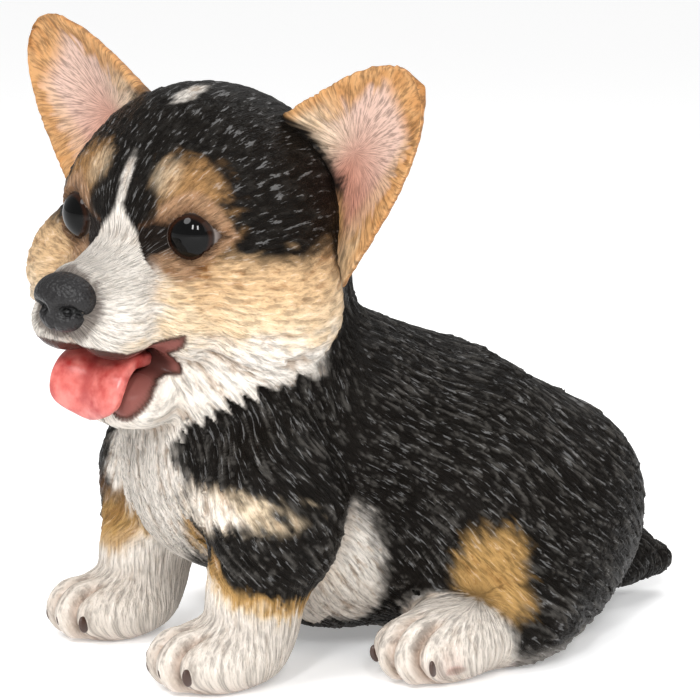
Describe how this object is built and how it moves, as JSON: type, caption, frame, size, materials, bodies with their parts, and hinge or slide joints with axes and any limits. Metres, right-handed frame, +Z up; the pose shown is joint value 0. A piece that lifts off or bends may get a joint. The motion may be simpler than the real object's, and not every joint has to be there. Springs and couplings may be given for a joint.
{
  "type": "seated puppy figurine",
  "caption": "Hand-painted seated puppy figurine with a turned head, upright ears, open mouth and tongue; rests on its flat underside.",
  "frame": {"origin": "middle of the bounding box in plan, on the surface the figurine stands on", "axes": "+Z up, the dog's body faces -Y, +X is the dog's left side"},
  "size_m": [0.1242, 0.1994, 0.1603],
  "materials": {
    "black_coat": "matt hand-painted cast stone, fine fur relief, dry-brushed",
    "face_coat": "matt hand-painted cast stone, black, tan and white fur",
    "white_coat": "matt hand-painted cast stone, white fur",
    "tongue_pink": "gloss-varnished coral pink",
    "nose_black": "satin charcoal, pebbled",
    "ear_coat": "matt, tan rim and pink lining",
    "eye_glass": "polished dark brown and black glass",
    "dowel_steel": "plain steel rod"
  },
  "bodies": {
    "root": {"body": "black_coat", "head": "face_coat", "lower_jaw": "white_coat", "tongue": "tongue_pink", "nose": "nose_black", "left_ear": "ear_coat", "right_ear": "ear_coat", "left_eye": "eye_glass", "right_eye": "eye_glass", "left_foreleg": "white_coat", "right_foreleg": "white_coat", "left_hind_foot": "white_coat", "right_hind_foot": "white_coat", "tail": "black_coat", "neck_dowel": "dowel_steel"}
  },
  "joints": []
}
